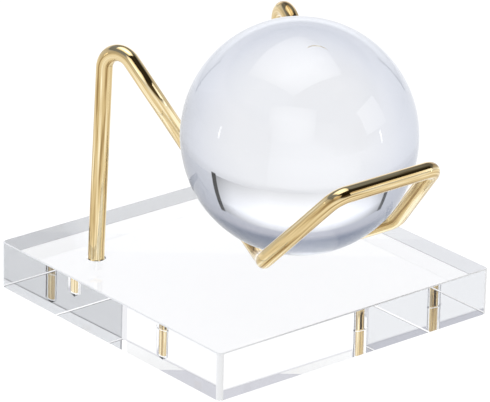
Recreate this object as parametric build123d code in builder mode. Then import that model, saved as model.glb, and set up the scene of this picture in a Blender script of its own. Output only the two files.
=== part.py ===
"""Crystal ball on a bent wire cradle that stands in a clear acrylic block.

Frame: millimetres, +Z up, origin at the centre of the block's bottom face.
-Y is the front, where the cradle's front bar is, and X = 0 is the plane of symmetry.
"""

from build123d import *
from math import radians, tan
import os

# ---- acrylic block ----
BASE_SIDE = 104.0          # square plan
BASE_THICKNESS = 15.0
BASE_CORNER_RADIUS = 1.5   # upright edges
BASE_EDGE_BREAK = 0.3      # top and bottom rims

# ---- wire ----
WIRE_DIAMETER = 5.0
WIRE_END_CHAMFER = 0.4
# centreline radius of each bend
KNEE_BEND = 60.0           # just above the block, where the leg starts to lean
PEAK_BEND = 5.5            # rear peak
SWEEP_BEND = 19.0          # where the arm turns down behind the ball
SEAT_BEND = 24.4           # the arm's curve round the underside of the ball
LOW_BEND = 6.0             # where the riser starts
BAR_BEND = 4.5             # both ends of the front bar

# ---- sockets for the wire's two ends ----
SOCKET_CLEARANCE = 0.075   # on the radius
SOCKET_DEPTH = 9.0         # full diameter, above the drill tip
DRILL_TIP_ANGLE = 118.0
PIN_END_GAP = 0.15         # from the wire's end to the bottom of the full diameter
LEG_X = 37.0
LEG_Y = 24.6

# ---- ball ----
BALL_DIAMETER = 70.0
BALL_CENTRE_Y = -23.9      # at rest 0.2 mm clear of both arms and both risers
BALL_CENTRE_Z = 60.7

# ---- corners of the wire's centreline on the +X side, from its end to the front bar ----
PIN_END_Z = BASE_THICKNESS - SOCKET_DEPTH + PIN_END_GAP
LEG_KNEE_Z = BASE_THICKNESS + 3.0
SIDE_CORNERS = [
    (LEG_X, LEG_Y, PIN_END_Z),      # end of the pin, in its socket
    (LEG_X, LEG_Y, LEG_KNEE_Z),     # the leg starts to lean inward
    (32.9, 26.0, 87.9),             # rear peak
    (28.6, 8.1, 69.6),              # the arm turns down behind the ball
    (-18.1, 12.0, 4.4),             # the seat, where the two straight runs would meet
    (25.4, -39.1, 32.9),            # low bend
    (18.6, -62.3, 58.4),            # end of the front bar
]
# bend radius at each corner after the first
SIDE_RADII = [KNEE_BEND, PEAK_BEND, SWEEP_BEND, SEAT_BEND, LOW_BEND, BAR_BEND]

def mirrored(corners):
    """The same corners on the -X side, in reverse order, so that the two lists join."""
    return [(-x, y, z) for x, y, z in reversed(corners)]


# ---- acrylic_base: polished block with a blind, drill-pointed socket for each wire end ----
socket_radius = WIRE_DIAMETER / 2 + SOCKET_CLEARANCE
drill_tip_top = BASE_THICKNESS - SOCKET_DEPTH
drill_tip_height = socket_radius / tan(radians(DRILL_TIP_ANGLE / 2))

with BuildPart() as acrylic_base:
    with BuildSketch(Plane.XY):
        RectangleRounded(BASE_SIDE, BASE_SIDE, BASE_CORNER_RADIUS)
    extrude(amount=BASE_THICKNESS)
    rims = acrylic_base.edges().group_by(Axis.Z)
    chamfer(rims[0] + rims[-1], length=BASE_EDGE_BREAK)
    with Locations((-LEG_X, LEG_Y, BASE_THICKNESS), (LEG_X, LEG_Y, BASE_THICKNESS)):
        CounterSinkHole(
            radius=socket_radius,
            counter_sink_radius=socket_radius + BASE_EDGE_BREAK,
            depth=SOCKET_DEPTH,
            counter_sink_angle=90,
        )
    with Locations((-LEG_X, LEG_Y, drill_tip_top), (LEG_X, LEG_Y, drill_tip_top)):
        Cone(
            bottom_radius=0,
            top_radius=socket_radius,
            height=drill_tip_height,
            align=(Align.CENTER, Align.CENTER, Align.MAX),
            mode=Mode.SUBTRACT,
        )
acrylic_base.part.label = "acrylic_base"

# ---- wire_cradle: one round wire, bent from end to end ----
with BuildPart() as wire_cradle:
    with BuildLine() as centreline:
        FilletPolyline(
            SIDE_CORNERS + mirrored(SIDE_CORNERS),
            radius=SIDE_RADII + SIDE_RADII[::-1],
        )
    with BuildSketch(Plane(origin=centreline.line @ 0, z_dir=centreline.line % 0)):
        Circle(WIRE_DIAMETER / 2)
    sweep()
    cut_ends = wire_cradle.edges().filter_by(GeomType.CIRCLE).group_by(Axis.Z)[0]
    chamfer(cut_ends, length=WIRE_END_CHAMFER)
wire_cradle.part.label = "wire_cradle"

# ---- crystal_ball: solid ball resting in the cradle ----
with BuildPart() as crystal_ball:
    with Locations((0, BALL_CENTRE_Y, BALL_CENTRE_Z)):
        Sphere(BALL_DIAMETER / 2)
crystal_ball.part.label = "crystal_ball"

os.makedirs("parts", exist_ok=True)
for piece in (acrylic_base, wire_cradle, crystal_ball):
    export_step(piece.part, f"parts/{piece.part.label}.step")
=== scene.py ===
from math import copysign, cos, hypot, pi, radians, sin, tan

import bmesh
import bpy
from mathutils import Matrix, Quaternion, Vector


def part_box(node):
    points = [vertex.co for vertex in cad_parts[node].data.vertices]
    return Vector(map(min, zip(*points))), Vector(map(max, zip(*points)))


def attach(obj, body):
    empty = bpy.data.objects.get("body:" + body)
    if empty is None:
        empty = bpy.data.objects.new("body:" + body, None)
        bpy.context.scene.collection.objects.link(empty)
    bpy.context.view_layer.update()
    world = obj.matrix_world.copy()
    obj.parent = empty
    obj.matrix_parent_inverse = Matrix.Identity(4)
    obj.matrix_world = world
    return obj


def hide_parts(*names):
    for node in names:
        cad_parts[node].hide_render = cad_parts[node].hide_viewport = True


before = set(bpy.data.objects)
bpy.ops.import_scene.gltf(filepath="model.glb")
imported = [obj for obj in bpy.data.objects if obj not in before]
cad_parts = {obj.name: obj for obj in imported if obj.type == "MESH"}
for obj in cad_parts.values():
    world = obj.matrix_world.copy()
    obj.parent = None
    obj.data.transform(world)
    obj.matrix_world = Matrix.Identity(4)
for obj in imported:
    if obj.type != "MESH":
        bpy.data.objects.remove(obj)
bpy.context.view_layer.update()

# The look of a crystal ball on a bent wire cradle that stands in a clear acrylic block.
# Metres, in the frame's own axes: +Z up, -Y the front, X = 0 the plane of symmetry.

scene = bpy.context.scene

# ---- camera ----
CAMERA_AZIMUTH = radians(-40.18)
CAMERA_ELEVATION = radians(23.59)
CAMERA_ROLL = radians(1.30)
CAMERA_DISTANCE = 1.27375             # from the frame's origin
CAMERA_TARGET = Vector((0.00765, 0.0092, 0.0274))
CAMERA_LENS = 310.5                   # on a sensor 36 mm wide
CAMERA_SENSOR = 36.0
CAMERA_NEAR = 0.05                    # nearest and farthest things that the camera sees
CAMERA_FAR = 20.0

# ---- wire: the centreline's corners on the +X side, from its end to the front bar ----
WIRE_RADIUS = 0.0025
WIRE_END_CHAMFER = 0.0004
SIDE_CORNERS = [
    (0.0370, 0.0246, 0.00615),        # end of the pin, in its socket
    (0.0370, 0.0246, 0.0180),         # the leg starts to lean inward
    (0.0329, 0.0260, 0.0879),         # rear peak
    (0.0286, 0.0081, 0.0696),         # the arm turns down behind the ball
    (-0.0181, 0.0120, 0.0044),        # the seat, where the two straight runs would meet
    (0.0254, -0.0391, 0.0329),        # low bend
    (0.0186, -0.0623, 0.0584),        # end of the front bar
]
SIDE_RADII = [0.060, 0.0055, 0.019, 0.0244, 0.006, 0.0045]
WIRE_SIDES = 48                       # points round the wire
BEND_STEP = radians(2.5)              # turn of the centreline from ring to ring
RUN_STEP = 0.004                      # distance from ring to ring on a straight run
STREAK_STRETCH = 9.0                  # how fast the painted reflection streaks change along the wire, per metre

# ---- acrylic block ----
CORNER_RADIUS = 0.0015
EDGE_BREAK = 0.0003
SOCKET_RADIUS = 0.002575
SOCKET_DEPTH = 0.009
DRILL_TIP_ANGLE = radians(118)
CORNER_STEPS = 12
SOCKET_SIDES = 96
PIN_TOP = 0.0153                      # the wire below this height is inside the block
SOCKET_REACH = 0.0035                 # the faces of a socket lie within this of its axis
LEVEL_NORMAL = 0.99                   # a face whose normal has more than this upright is level
NO_DISTANCE = 1e-6                    # two points nearer than this are one point
CLEAR_SLOT, REAR_SLOT, SIDE_SLOT, EDGE_SLOT = range(4)
FULL_MIRROR = (1, 1, 1, 1)            # what a face gives back of the light inside the block
# Painted shade: the rear and side walls mirror back less light than the clear faces, which greys
# the block where they are seen in it.
REAR_PAINTED_SHADE = (0.60, 0.61, 0.63, 1)
SIDE_PAINTED_SHADE = (0.80, 0.81, 0.83, 1)

# ---- ball ----
BALL_SUBDIVISIONS = 6

# ---- refraction ----
GLASS_INDEX = 1.52
ACRYLIC_INDEX = 1.49
EDGE_SKIN_INDEX = 1.2                 # a broken edge mirrors less than the polished faces
EDGE_INSIDE_INDEX = 1.06              # and hardly bends the light that leaves the block
BALL_CROSSED = 1.5                    # light that has crossed the ball has been bent twice
LIGHT_BOUNCES = 32
GLOSSY_BOUNCES = 24

# ---- stage ----
FLOOR_DROP = 0.0002                   # keeps the floor's face apart from the block's underside
FLOOR_RADIUS = 4.0
FLOOR_SIDES = 96
DARK_SIDE = (0.165, -0.685, 0.709)    # towards the middle of the unlit part of the room
CARD_TARGET = (0, 0, 0.06)            # every light card faces this point in the ball
LIGHT_CARDS = [                       # name, centre, width, height, strength, fades to the rims
    ("back_softbox", (0.55, 0.66, 0.19), 1.30, 0.34, 1.7, True),
    ("back_rim_left", (0.045, 1.05, 0.19), 0.05, 0.36, 0.03, False),
    ("back_rim_right", (1.00, 0.24, 0.19), 0.05, 0.36, 0.03, False),
    ("top_softbox", (0.0, 0.1, 1.0), 1.0, 1.0, 2.6, True),
    ("front_softbox", (-1.02, -0.88, 0.87), 1.25, 0.95, 1.8, True),
    ("left_strip", (-0.84, 0.53, 0.13), 0.035, 0.16, 5.0, False),
    ("right_strip", (0.67, -0.74, 0.13), 0.035, 0.16, 5.0, False),
    ("key_softbox", (0.65, -0.77, 0.44), 0.50, 0.40, 1.3, False),
]


# ---------------------------------------------------------------- materials

def new_material(name):
    """A material with an empty node tree, and the tree."""
    material = bpy.data.materials.new(name)
    material.use_nodes = True
    material.node_tree.nodes.clear()
    return material, material.node_tree


def add(tree, kind, **sockets):
    """A new node, with its input sockets set by name."""
    node = tree.nodes.new(kind)
    for name, value in sockets.items():
        node.inputs[name.replace("_", " ")].default_value = value
    return node


def link(tree, source, output, target, socket):
    """Joins two nodes by the names of their sockets."""
    tree.links.new(source.outputs[output], target.inputs[socket])


def surface(tree, shader, output="BSDF"):
    """Ends a material with the shader."""
    link(tree, shader, output, tree.nodes.new("ShaderNodeOutputMaterial"), "Surface")


def ramp(tree, source, output, stops):
    """A colour ramp on source. Each stop is a position with a grey or a colour."""
    node = tree.nodes.new("ShaderNodeValToRGB")
    elements = node.color_ramp.elements
    while len(elements) < len(stops):
        elements.new(0.5)
    for element, (position, colour) in zip(elements, stops):
        red, green, blue = colour if isinstance(colour, tuple) else (colour,) * 3
        element.position = position
        element.color = (red, green, blue, 1)
    link(tree, source, output, node, "Fac")
    return node


def maths(tree, operation, one, two, kind="ShaderNodeMath"):
    """A maths node on two values, each of them an output socket or a constant."""
    node = tree.nodes.new(kind)
    node.operation = operation
    for socket, value in zip(node.inputs, (one, two)):
        if isinstance(value, bpy.types.NodeSocket):
            tree.links.new(value, socket)
        else:
            socket.default_value = value
    return node


def product(tree, one, two):
    """Two ramps' colours, multiplied."""
    colours = one.outputs["Color"], two.outputs["Color"]
    return maths(tree, "MULTIPLY", *colours, "ShaderNodeVectorMath")


def mix_shaders(tree, share, first, second):
    """The first shader where share is 0 and the second where it is 1."""
    mix = tree.nodes.new("ShaderNodeMixShader")
    for socket, source in zip(mix.inputs, (share, first, second)):
        tree.links.new(source, socket)
    return mix


def noise(tree, space, scale, detail, roughness):
    """A noise texture on the vector output space."""
    node = add(tree, "ShaderNodeTexNoise", Scale=scale, Detail=detail, Roughness=roughness)
    tree.links.new(space, node.inputs["Vector"])
    return node


def own_space(tree):
    """The piece's own coordinates, which move with it."""
    return tree.nodes.new("ShaderNodeTexCoord").outputs["Object"]


def use_roughness(tree, rough, *shaders):
    """Gives the shaders the ramp's value as their roughness."""
    for shader in shaders:
        link(tree, rough, "Color", shader, "Roughness")


def glass_material():
    """Solid crystal glass with a faint blue-grey tint, and painted shade that makes it greyer where
    its skin turns away, with the lightest handling haze.
    """
    material, tree = new_material("crystal_glass")
    haze = noise(tree, own_space(tree), scale=90.0, detail=6.0, roughness=0.6)
    rough = ramp(tree, haze, "Fac", [(0.3, 0.02), (0.8, 0.05)])
    slope = add(tree, "ShaderNodeLayerWeight", Blend=0.5)
    # Painted shade: the glass's faint tint darkens towards its rim, where its skin turns away from
    # the view.
    tint_and_painted_rim_shade = ramp(tree, slope, "Facing", [
        (0.15, (0.81, 0.82, 0.85)),
        (0.45, (0.61, 0.64, 0.73)),
        (0.8, (0.42, 0.46, 0.56)),
    ])
    glass = add(tree, "ShaderNodeBsdfPrincipled", IOR=GLASS_INDEX, Transmission_Weight=1.0)
    link(tree, tint_and_painted_rim_shade, "Color", glass, "Base Color")
    use_roughness(tree, rough, glass)
    surface(tree, glass)
    return material


def block_surface(tree, shader):
    """Ends a material of the block. Light that has already crossed the ball passes the block by."""
    rays = tree.nodes.new("ShaderNodeLightPath")
    depth = rays.outputs["Transmission Depth"]
    crossed = maths(tree, "GREATER_THAN", depth, BALL_CROSSED).outputs["Value"]
    clear = tree.nodes.new("ShaderNodeBsdfTransparent").outputs["BSDF"]
    surface(tree, mix_shaders(tree, crossed, shader.outputs["Shader"], clear), "Shader")


def edge_material():
    """The block's broken edges and upright corners: a fine sanded skin, hardly seen from inside."""
    material, tree = new_material("acrylic_edge_break")
    grain = noise(tree, own_space(tree), scale=900.0, detail=4.0, roughness=0.6)
    rough = ramp(tree, grain, "Fac", [(0.3, 0.25), (0.8, 0.5)])
    skin = add(
        tree, "ShaderNodeBsdfPrincipled", Base_Color=(0.97, 0.975, 0.98, 1), IOR=EDGE_SKIN_INDEX)
    inside = add(
        tree, "ShaderNodeBsdfRefraction", Color=(0.82, 0.82, 0.84, 1), IOR=EDGE_INSIDE_INDEX)
    use_roughness(tree, rough, skin, inside)
    backfacing = tree.nodes.new("ShaderNodeNewGeometry").outputs["Backfacing"]
    block_surface(tree, mix_shaders(tree, backfacing, skin.outputs["BSDF"], inside.outputs["BSDF"]))
    return material


def acrylic_material(name, mirror):
    """Clear acrylic. mirror is how much of the light that stays inside this face gives back; a
    mirror below 1 is painted shade.
    """
    material, tree = new_material(name)
    smear = noise(tree, own_space(tree), scale=60.0, detail=5.0, roughness=0.55)
    rough = ramp(tree, smear, "Fac", [(0.5, 0.0), (0.95, 0.02)])
    bend = add(
        tree, "ShaderNodeBsdfRefraction", Color=(0.99, 0.992, 0.995, 1), IOR=ACRYLIC_INDEX)
    back = add(tree, "ShaderNodeBsdfGlossy", Color=mirror)
    use_roughness(tree, rough, bend, back)
    share = add(tree, "ShaderNodeFresnel", IOR=ACRYLIC_INDEX).outputs["Fac"]
    block_surface(tree, mix_shaders(tree, share, bend.outputs["BSDF"], back.outputs["BSDF"]))
    return material


def wire_unseen(tree, place):
    """1 where light passes the wire by. Only light sent on by glass, acrylic or gold does. It
    does so above the block, and in the block once it has crossed the ball or is in the wire."""
    rays = tree.nodes.new("ShaderNodeLightPath").outputs
    height = tree.nodes.new("ShaderNodeSeparateXYZ")
    tree.links.new(place, height.inputs["Vector"])
    backfacing = tree.nodes.new("ShaderNodeNewGeometry").outputs["Backfacing"]
    above = maths(tree, "GREATER_THAN", height.outputs["Z"], PIN_TOP).outputs["Value"]
    hollow = maths(tree, "MAXIMUM", above, backfacing).outputs["Value"]
    passed = maths(tree, "MAXIMUM", hollow, rays["Transparent Depth"]).outputs["Value"]
    bent = rays["Is Transmission Ray"]
    sent_on = maths(tree, "MAXIMUM", bent, rays["Is Glossy Ray"]).outputs["Value"]
    return maths(tree, "MULTIPLY", passed, sent_on).outputs["Value"]


def gold_material():
    """Polished gold-coloured wire, with painted reflection streaks along it in dark brown and pale
    cream, and a slightly uneven polish.
    """
    material, tree = new_material("gold_wire")
    place = own_space(tree)
    marks = noise(tree, place, scale=420.0, detail=4.0, roughness=0.6)
    rough = ramp(tree, marks, "Fac", [(0.3, 0.04), (0.8, 0.11)])
    painted_streak_place = tree.nodes.new("ShaderNodeAttribute")
    painted_streak_place.attribute_name = "painted_streak_place"
    painted_streak_noise = noise(tree, painted_streak_place.outputs["Vector"], scale=2.6, detail=4.0, roughness=0.62)
    # Painted reflections: the wire's gold colour with dark brown and pale cream streaks running
    # along it.
    colour = ramp(tree, painted_streak_noise, "Fac", [
        (0.36, (0.33, 0.21, 0.08)),
        (0.45, (0.62, 0.46, 0.22)),
        (0.55, (0.77, 0.61, 0.34)),
        (0.64, (0.98, 0.87, 0.60)),
    ])
    gold = add(tree, "ShaderNodeBsdfPrincipled", Metallic=1.0)
    link(tree, colour, "Color", gold, "Base Color")
    use_roughness(tree, rough, gold)
    unseen = wire_unseen(tree, place)
    clear = tree.nodes.new("ShaderNodeBsdfTransparent").outputs["BSDF"]
    surface(tree, mix_shaders(tree, unseen, gold.outputs["BSDF"], clear), "Shader")
    return material


# ---------------------------------------------------------------- meshes

def mesh_object(name, bm, *materials):
    """An object in the scene, with the mesh bm and the materials."""
    mesh = bpy.data.meshes.new(name)
    bm.to_mesh(mesh)
    bm.free()
    for material in materials:
        mesh.materials.append(material)
    piece = bpy.data.objects.new(name, mesh)
    scene.collection.objects.link(piece)
    return piece


def rounded_route(corners, radii):
    """Points and headings along straight runs joined by tangent arcs of the given radii."""
    points = [Vector(corner) for corner in corners]
    route = [(points[0], (points[1] - points[0]).normalized())]
    for before, corner, after, radius in zip(points, points[1:], points[2:], radii):
        way_in = (corner - before).normalized()
        way_out = (after - corner).normalized()
        turn = way_in.angle(way_out)
        start = corner - way_in * radius * tan(turn / 2)
        add_run(route, start)
        axis = way_in.cross(way_out).normalized()
        centre = start + axis.cross(way_in) * radius
        steps = max(2, round(turn / BEND_STEP))
        for step in range(1, steps + 1):
            swing = Quaternion(axis, turn * step / steps)
            route.append((centre + swing @ (start - centre), swing @ way_in))
    add_run(route, points[-1])
    return route


def add_run(route, end):
    """A straight run from the route's last point to end, in even steps."""
    start = route[-1][0]
    heading = (end - start).normalized()
    steps = max(1, round((end - start).length / RUN_STEP))
    for step in range(1, steps + 1):
        route.append((start.lerp(end, step / steps), heading))


def pairs_round(loop):
    """Each member of a closed loop with the next one."""
    return list(zip(loop, loop[1:] + loop[:1]))


def band(bm, one, two):
    """The faces between two closed loops that have the same number of points."""
    sides = zip(pairs_round(one), pairs_round(two))
    return [bm.faces.new((a, b, d, c)) for (a, b), (c, d) in sides]


def wire_ring(bm, painted_streak_place, centre, side, heading, radius, along):
    """Points round the wire, with where each is round it and along it in the given layer, which
    places the painted reflection streaks.
    """
    other = heading.cross(side)
    ring = []
    for k in range(WIRE_SIDES):
        turn = 2 * pi * k / WIRE_SIDES
        vertex = bm.verts.new(centre + radius * (cos(turn) * side + sin(turn) * other))
        vertex[painted_streak_place] = (cos(turn), sin(turn), along)
        ring.append(vertex)
    return ring


def wire_mesh(route):
    """A closed round wire along the route, with chamfered ends."""
    bm = bmesh.new()
    # This layer places the painted reflection streaks round and along the wire.
    painted_streak_place = bm.verts.layers.float_vector.new("painted_streak_place")
    heading = route[0][1]
    side = heading.orthogonal().normalized()
    end_radius = WIRE_RADIUS - WIRE_END_CHAMFER
    last = len(route) - 1
    gone = 0.0
    rings = []
    for index, (point, toward) in enumerate(route):
        gone += (point - route[max(index - 1, 0)][0]).length
        side = heading.rotation_difference(toward) @ side
        side = (side - toward * side.dot(toward)).normalized()
        heading = toward
        chamfer = toward * WIRE_END_CHAMFER
        if index == 0:
            places = [(point, end_radius), (point + chamfer, WIRE_RADIUS)]
        elif index == last:
            places = [(point - chamfer, WIRE_RADIUS), (point, end_radius)]
        else:
            places = [(point, WIRE_RADIUS)]
        for centre, radius in places:
            along = gone * STREAK_STRETCH
            rings.append(wire_ring(bm, painted_streak_place, centre, side, heading, radius, along))
    for one, two in zip(rings, rings[1:]):
        for face in band(bm, one, two):
            face.smooth = True
    bm.faces.new(rings[0][::-1])
    bm.faces.new(rings[-1])
    bm.normal_update()
    return bm


def block_outline(half, radius):
    """Points round a square of side 2 * half with rounded corners."""
    points = []
    for quarter in range(4):
        spin = Matrix.Rotation(quarter * pi / 2, 2)
        middle = Vector((half - radius, half - radius))
        for step in range(CORNER_STEPS + 1):
            turn = pi / 2 * step / CORNER_STEPS
            points.append(spin @ (middle + radius * Vector((cos(turn), sin(turn)))))
    return points


def wall_slot(middle, half):
    """The material slot for a face of the block's walls, from the face's middle."""
    corner = half - CORNER_RADIUS
    if abs(middle.x) > corner and abs(middle.y) > corner:
        return EDGE_SLOT
    if middle.y > corner:
        return REAR_SLOT
    return SIDE_SLOT if abs(middle.x) > corner else CLEAR_SLOT


def drill_socket(bm, x, y, top):
    """A countersunk blind hole with a drill tip. Gives the edges round its mouth."""
    def ring(radius, z):
        turns = [2 * pi * k / SOCKET_SIDES for k in range(SOCKET_SIDES)]
        return [bm.verts.new((x + radius * cos(t), y + radius * sin(t), z)) for t in turns]

    mouth = ring(SOCKET_RADIUS + EDGE_BREAK, top)
    throat = ring(SOCKET_RADIUS, top - EDGE_BREAK)
    bottom = ring(SOCKET_RADIUS, top - SOCKET_DEPTH)
    band(bm, mouth, throat)
    band(bm, throat, bottom)
    tip_drop = SOCKET_DEPTH + SOCKET_RADIUS / tan(DRILL_TIP_ANGLE / 2)
    tip = bm.verts.new((x, y, top - tip_drop))
    for one, two in pairs_round(bottom):
        bm.faces.new((one, two, tip))
    return [bm.edges.get(pair) for pair in pairs_round(mouth)]


def make_block():
    """The acrylic block with its edge breaks, countersunk sockets and drill tips."""
    low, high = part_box("acrylic_base")
    half = (high.x - low.x) / 2
    leg = Vector(SIDE_CORNERS[0])
    outer = block_outline(half, CORNER_RADIUS)
    inner = block_outline(half - EDGE_BREAK, CORNER_RADIUS - EDGE_BREAK)
    levels = [
        (inner, low.z),
        (outer, low.z + EDGE_BREAK),
        (outer, high.z - EDGE_BREAK),
        (inner, high.z),
    ]
    bm = bmesh.new()
    loops = [[bm.verts.new((x, y, z)) for x, y in outline] for outline, z in levels]
    lower_break, walls, upper_break = [band(bm, *pair) for pair in zip(loops, loops[1:])]
    for face in lower_break + upper_break:
        face.material_index = EDGE_SLOT
    for face in walls:
        face.material_index = wall_slot(face.calc_center_median(), half)
    bm.faces.new(loops[0][::-1])
    top_edges = [bm.edges.get(pair) for pair in pairs_round(loops[-1])]
    for x in (-leg.x, leg.x):
        top_edges += drill_socket(bm, x, leg.y, high.z)
    bmesh.ops.triangle_fill(bm, use_beauty=True, use_dissolve=False, edges=top_edges)
    bmesh.ops.recalc_face_normals(bm, faces=bm.faces)
    materials = [
        acrylic_material("acrylic", FULL_MIRROR),
        # The rear and side walls carry painted shade in their weaker mirrors.
        acrylic_material("acrylic_rear_wall_painted_shade", REAR_PAINTED_SHADE),
        acrylic_material("acrylic_side_wall_painted_shade", SIDE_PAINTED_SHADE),
        edge_material(),
    ]
    block = mesh_object("acrylic_block", bm, *materials)
    set_block_normals(block.data, half, leg)
    return block


def turned(normal, out):
    """The normal, with its level part turned to the heading out if out has a heading."""
    if out.length < NO_DISTANCE:
        return normal.copy()
    level = out.normalized() * normal.xy.length
    return Vector((level.x, level.y, normal.z)).normalized()


def set_block_normals(mesh, half, leg):
    """Exact normals: flat, and turning only round the upright corners and the sockets."""
    corner = half - CORNER_RADIUS
    normals = []
    for face in mesh.polygons:
        x, y = face.center.xy
        level = abs(face.normal.z) >= LEVEL_NORMAL
        at_corner = abs(x) > corner and abs(y) > corner and not level
        in_socket = hypot(abs(x) - leg.x, y - leg.y) < SOCKET_REACH and not level
        for index in face.vertices:
            point = mesh.vertices[index].co.xy
            out = Vector((0, 0))
            if at_corner:
                out = point - Vector((copysign(corner, x), copysign(corner, y)))
            elif in_socket:
                out = Vector((copysign(leg.x, x), leg.y)) - point
            normals.append(turned(face.normal, out))
    mesh.polygons.foreach_set("use_smooth", [True] * len(mesh.polygons))
    mesh.normals_split_custom_set(normals)


def make_wire():
    """The whole wire: the +X side and its mirror image."""
    mirrored = [(-x, y, z) for x, y, z in reversed(SIDE_CORNERS)]
    route = rounded_route(SIDE_CORNERS + mirrored, SIDE_RADII + SIDE_RADII[::-1])
    return mesh_object("cradle_wire", wire_mesh(route), gold_material())


def make_ball():
    """The ball, as large and in the place that the CAD ball's box says."""
    low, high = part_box("crystal_ball")
    radius = (high.z - low.z) / 2
    place = Matrix.Translation((low + high) / 2)
    bm = bmesh.new()
    bmesh.ops.create_icosphere(bm, subdivisions=BALL_SUBDIVISIONS, radius=radius, matrix=place)
    for face in bm.faces:
        face.smooth = True
    return mesh_object("ball", bm, glass_material())


# ---------------------------------------------------------------- stage

def light_card(name, centre, width, height, strength, fades):
    """A flat light card that faces the ball. It is stage, and the camera doesn't see it."""
    material, tree = new_material(name)
    glow = add(tree, "ShaderNodeEmission", Color=(1, 1, 1, 1), Strength=strength)
    if fades:
        fade_to_rims(tree, glow)
    surface(tree, glow, "Emission")
    bm = bmesh.new()
    corners = [(-1, -1), (1, -1), (1, 1), (-1, 1)]
    bm.faces.new([bm.verts.new((x * width / 2, y * height / 2, 0)) for x, y in corners])
    card = mesh_object(name, bm, material)
    toward = (Vector(CARD_TARGET) - Vector(centre)).normalized()
    card.rotation_mode = "QUATERNION"
    card.rotation_quaternion = toward.to_track_quat("Z", "Y")
    card.location = centre
    card.visible_camera = False


def fade_to_rims(tree, glow):
    """Makes a card's light weaker towards its sides, its bottom and its top."""
    place = tree.nodes.new("ShaderNodeTexCoord")
    split = tree.nodes.new("ShaderNodeSeparateXYZ")
    link(tree, place, "Generated", split, "Vector")
    across = ramp(tree, split, "X", [
        (0.0, 0.42), (0.16, 0.8), (0.35, 1.0), (0.65, 1.0), (0.84, 0.8), (1.0, 0.42)])
    up = ramp(tree, split, "Y", [(0.0, 0.58), (0.35, 0.82), (0.65, 1.0), (1.0, 0.55)])
    link(tree, product(tree, across, up), "Vector", glow, "Color")


def make_floor():
    """A plain white floor that is a little dimmer far from the object."""
    material, tree = new_material("floor")
    far = tree.nodes.new("ShaderNodeVectorMath")
    far.operation = "LENGTH"
    tree.links.new(own_space(tree), far.inputs[0])
    fade = ramp(tree, far, "Value", [(0.55, 1.0), (0.9, 0.92)])
    glow = add(tree, "ShaderNodeEmission", Strength=1.0)
    link(tree, fade, "Color", glow, "Color")
    matt = add(tree, "ShaderNodeBsdfDiffuse", Color=(0.12, 0.12, 0.12, 1))
    both = tree.nodes.new("ShaderNodeAddShader")
    tree.links.new(glow.outputs["Emission"], both.inputs[0])
    tree.links.new(matt.outputs["BSDF"], both.inputs[1])
    surface(tree, both, "Shader")
    bm = bmesh.new()
    level = Matrix.Translation((0, 0, -FLOOR_DROP))
    bmesh.ops.create_circle(
        bm, cap_ends=True, segments=FLOOR_SIDES, radius=FLOOR_RADIUS, matrix=level)
    floor = mesh_object("floor", bm, material)


def make_world():
    """A pale room, darker overhead, and unlit above the front of the object."""
    world = bpy.data.worlds.new("studio")
    scene.world = world
    world.use_nodes = True
    tree = world.node_tree
    tree.nodes.clear()
    place = tree.nodes.new("ShaderNodeTexCoord").outputs["Generated"]
    split = tree.nodes.new("ShaderNodeSeparateXYZ")
    tree.links.new(place, split.inputs["Vector"])
    sky = ramp(tree, split, "Z", [
        (0.0, (0.86, 0.87, 0.89)),
        (0.3, (0.76, 0.77, 0.81)),
        (0.42, (0.66, 0.66, 0.71)),
        (0.50, (0.25, 0.29, 0.38)),
        (1.0, (0.33, 0.37, 0.46)),
    ])
    facing = maths(tree, "DOT_PRODUCT", place, DARK_SIDE, "ShaderNodeVectorMath")
    shade = ramp(tree, facing, "Value", [(0.66, 1.0), (0.78, (0.12, 0.09, 0.05))])
    room = product(tree, sky, shade)
    glow = add(tree, "ShaderNodeBackground", Strength=1.0)
    link(tree, room, "Vector", glow, "Color")
    link(tree, glow, "Background", tree.nodes.new("ShaderNodeOutputWorld"), "Surface")


def make_camera():
    """The camera, above and in front of the object, with a slight roll."""
    data = bpy.data.cameras.new("camera")
    data.lens = CAMERA_LENS
    data.sensor_width = CAMERA_SENSOR
    data.sensor_fit = "HORIZONTAL"
    data.clip_start = CAMERA_NEAR
    data.clip_end = CAMERA_FAR
    camera = bpy.data.objects.new("camera", data)
    scene.collection.objects.link(camera)
    level = cos(CAMERA_ELEVATION)
    place = CAMERA_DISTANCE * Vector((
        sin(CAMERA_AZIMUTH) * level, -cos(CAMERA_AZIMUTH) * level, sin(CAMERA_ELEVATION)))
    back = (place - CAMERA_TARGET).normalized()
    right = Vector((0, 0, 1)).cross(back).normalized()
    up = back.cross(right)
    rolled_right = right * cos(CAMERA_ROLL) + up * sin(CAMERA_ROLL)
    rolled_up = up * cos(CAMERA_ROLL) - right * sin(CAMERA_ROLL)
    turn = Matrix((rolled_right, rolled_up, back)).transposed().to_4x4()
    camera.matrix_world = Matrix.Translation(place) @ turn
    scene.camera = camera


make_camera()
make_world()
make_floor()
for card in LIGHT_CARDS:
    light_card(*card)

block = make_block()
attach(block, "base")
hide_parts("acrylic_base")

wire = make_wire()
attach(wire, "wire")
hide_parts("wire_cradle")

ball = make_ball()
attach(ball, "ball")
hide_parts("crystal_ball")
ball.visible_glossy = False           # the wire and the block's top don't mirror the ball

scene.view_settings.view_transform = "Standard"
scene.cycles.max_bounces = LIGHT_BOUNCES
scene.cycles.transmission_bounces = LIGHT_BOUNCES
scene.cycles.glossy_bounces = GLOSSY_BOUNCES

bpy.context.view_layer.update()
